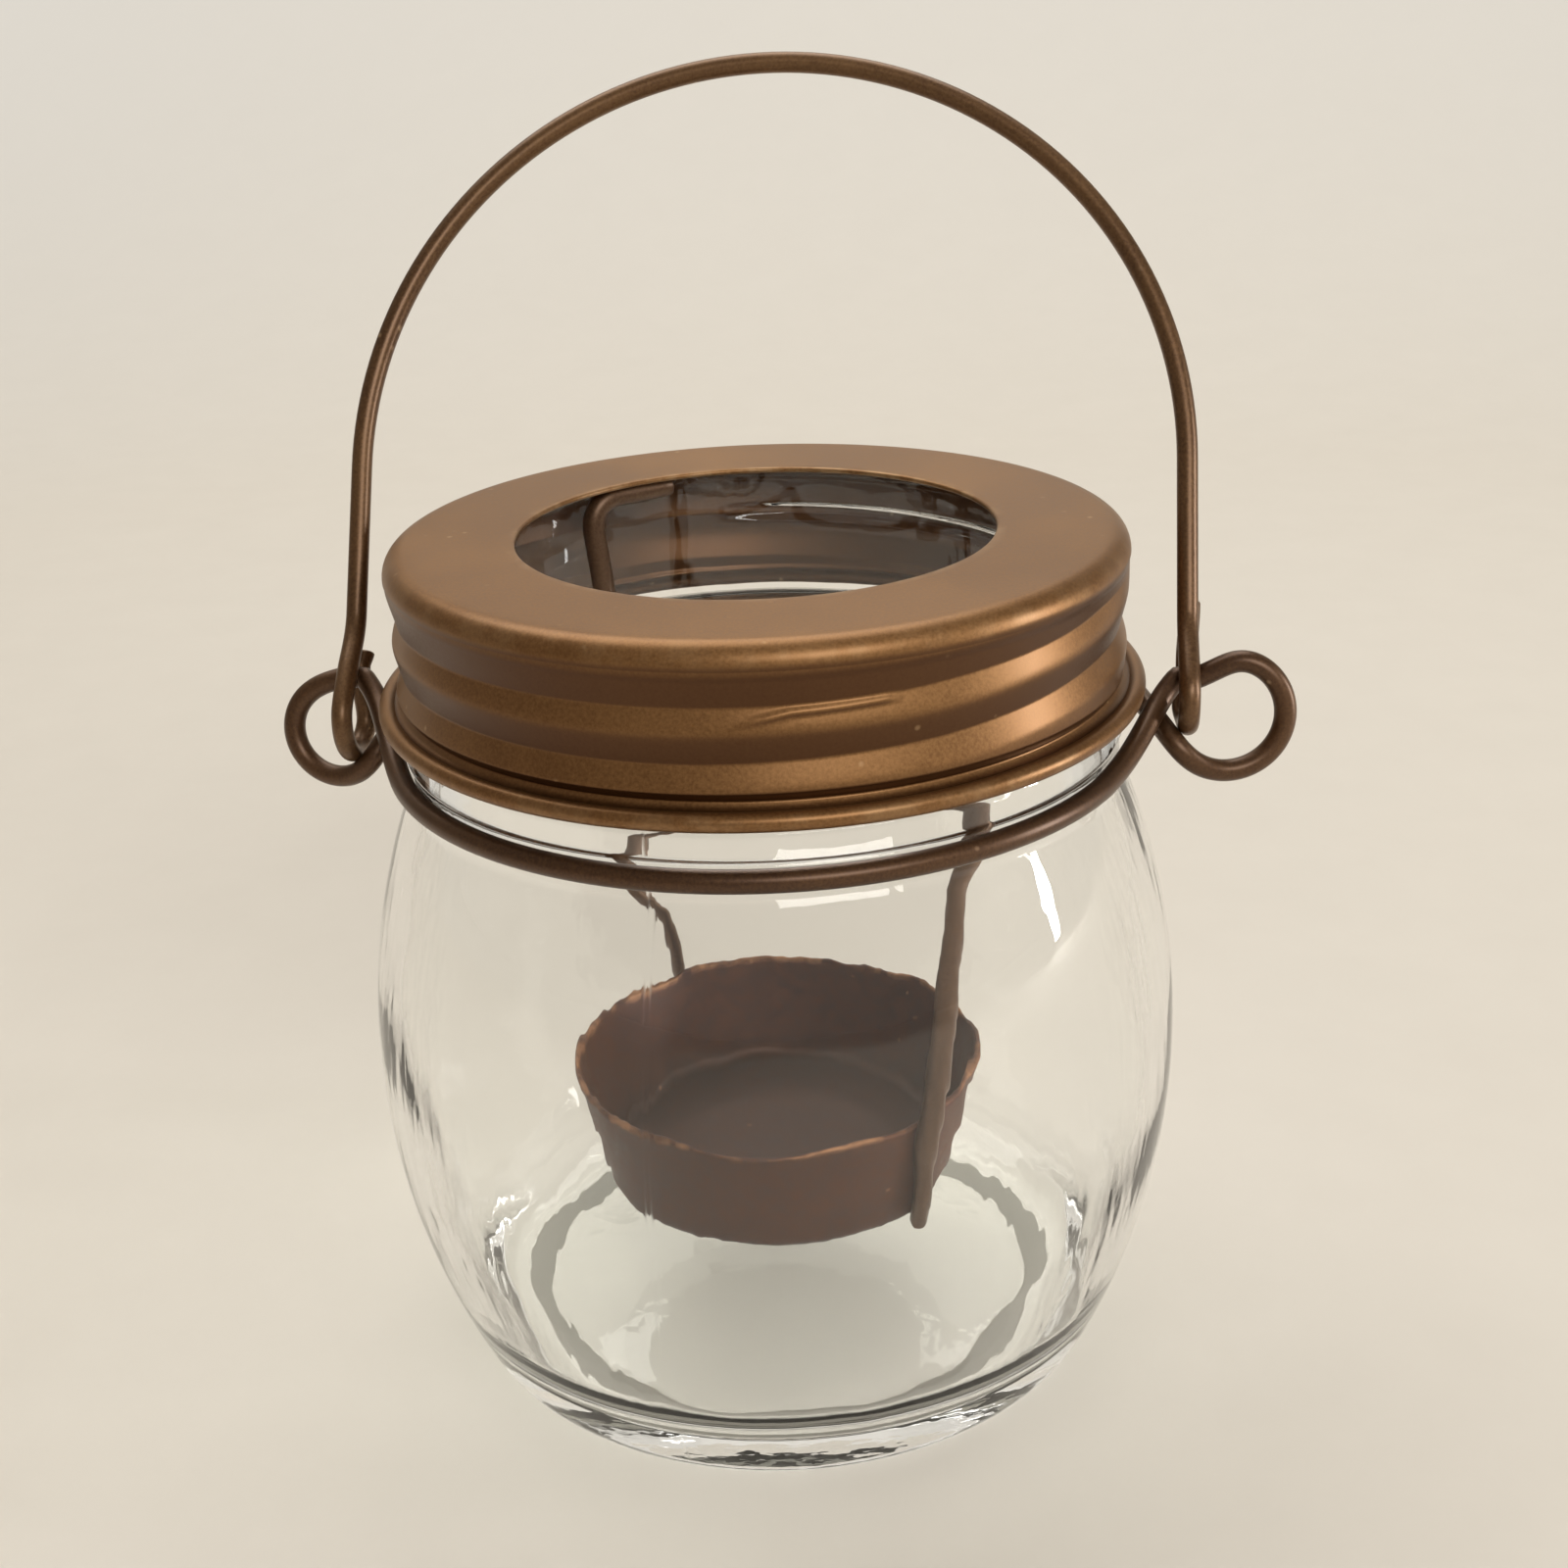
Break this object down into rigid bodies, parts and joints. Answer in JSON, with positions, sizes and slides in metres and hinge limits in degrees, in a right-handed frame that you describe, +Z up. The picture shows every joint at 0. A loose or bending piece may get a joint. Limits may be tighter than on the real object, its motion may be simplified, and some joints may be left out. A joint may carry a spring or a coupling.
{
  "type": "jar lantern",
  "caption": "Small bellied glass jar lantern with an open screw lid that hangs a candle cup inside the glass on bent wires, and a wire carrying bail hooked into a neck collar with curled ears.",
  "frame": {"origin": "centre of the ring the jar stands on, level with the table", "axes": "+Z up along the jar's axis, X through the two wire ears, +Y towards the back, the way the bail leans"},
  "size_m": [0.1081, 0.0876, 0.1367],
  "materials": {
    "glass": "clear pressed glass with a faint green tint, slightly wavy",
    "collar_wire": "dark bronze painted wire, satin",
    "bail_wire": "dark bronze painted wire, satin",
    "lid_metal": "copper bronze metallic paint on sheet steel, satin, lightly worn",
    "hanger_wire": "brown bronze painted wire, satin",
    "cup_metal": "dark reddish brown painted steel, satin"
  },
  "bodies": {
    "jar": {"glass_jar": "glass", "collar": "collar_wire"},
    "bail": {"bail": "bail_wire"},
    "lid_assembly": {"lid": "lid_metal", "hanger_front": "hanger_wire", "hanger_back": "hanger_wire", "tealight_cup": "cup_metal"}
  },
  "joints": [
    {"name": "bail_swing", "type": "hinge", "parent": "jar", "child": "bail", "pos_m": [0, 0, 0.07618], "axis": [1, 0, 0], "range_deg": [-107, 156]},
    {"name": "lid_lift", "type": "slide", "parent": "jar", "child": "lid_assembly", "axis": [0, 0, 1], "range_m": [0, 0.028]}
  ]
}
